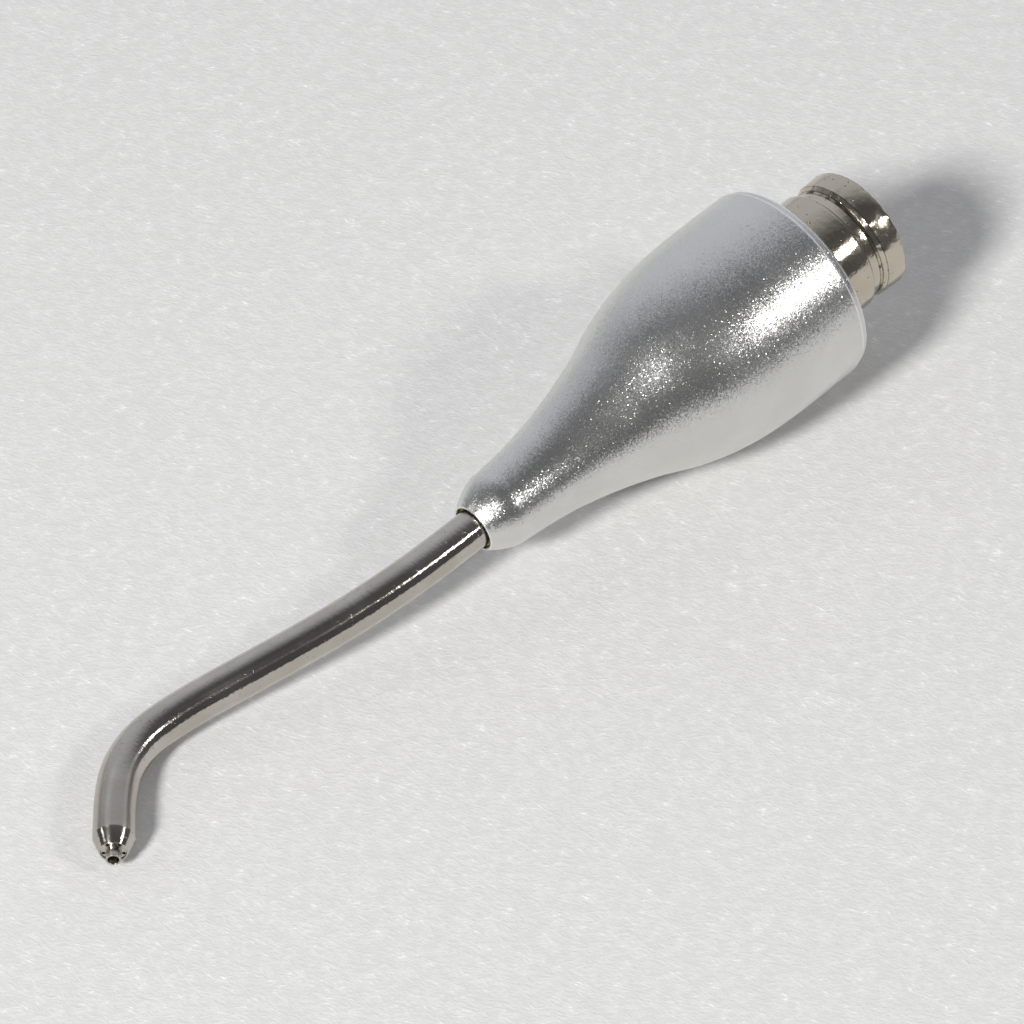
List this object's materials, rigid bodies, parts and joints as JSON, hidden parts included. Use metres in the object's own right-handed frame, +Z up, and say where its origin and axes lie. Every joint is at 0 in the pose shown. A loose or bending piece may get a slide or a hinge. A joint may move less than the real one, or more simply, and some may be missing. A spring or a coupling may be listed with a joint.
{
  "type": "dental three-way syringe nozzle head",
  "caption": "Head of an air and water dental syringe: a satin turned cone with a bent steel spray tube that swivels, and a grooved connector that plugs into a handle.",
  "frame": {"origin": "centre of the connector's rear mouth, on the cone's axis", "axes": "+X along the cone's axis from the connector to the spray tube's tip, +Z up as the part lies, with the tube's bends almost flat in the XY plane and its tip turned towards +Y"},
  "size_m": [0.1034, 0.0214, 0.0214],
  "materials": {
    "cone_aluminium": "bead-blasted satin",
    "bush_brass": "turned, dulled",
    "seal_rubber": "matte elastomer",
    "nickel_plate": "bright nickel plate over brass",
    "washer_plastic": "natural low-friction plastic",
    "polished_steel": "polished",
    "tip_steel": "turned",
    "holder_brass": "turned",
    "silver_braze": "silver brazing alloy"
  },
  "bodies": {
    "head": {"nose_cone": "cone_aluminium", "nose_bush": "bush_brass", "nose_ring": "seal_rubber", "connector": "nickel_plate", "washer_rear": "washer_plastic", "washer_front": "washer_plastic"},
    "cannula": {"cannula_tube": "polished_steel", "water_tube": "polished_steel", "spray_tip": "tip_steel", "tube_holder": "holder_brass", "tube_braze": "silver_braze", "seal_ring_rear": "seal_rubber", "seal_ring_front": "seal_rubber", "water_seat": "holder_brass", "water_braze": "silver_braze", "water_ring": "seal_rubber", "ring_retainer": "tip_steel"}
  },
  "joints": [
    {"name": "cannula_swivel", "type": "hinge", "parent": "head", "child": "cannula", "pos_m": [0.0375, 0, 0], "axis": [1, 0, 0], "continuous": true}
  ]
}
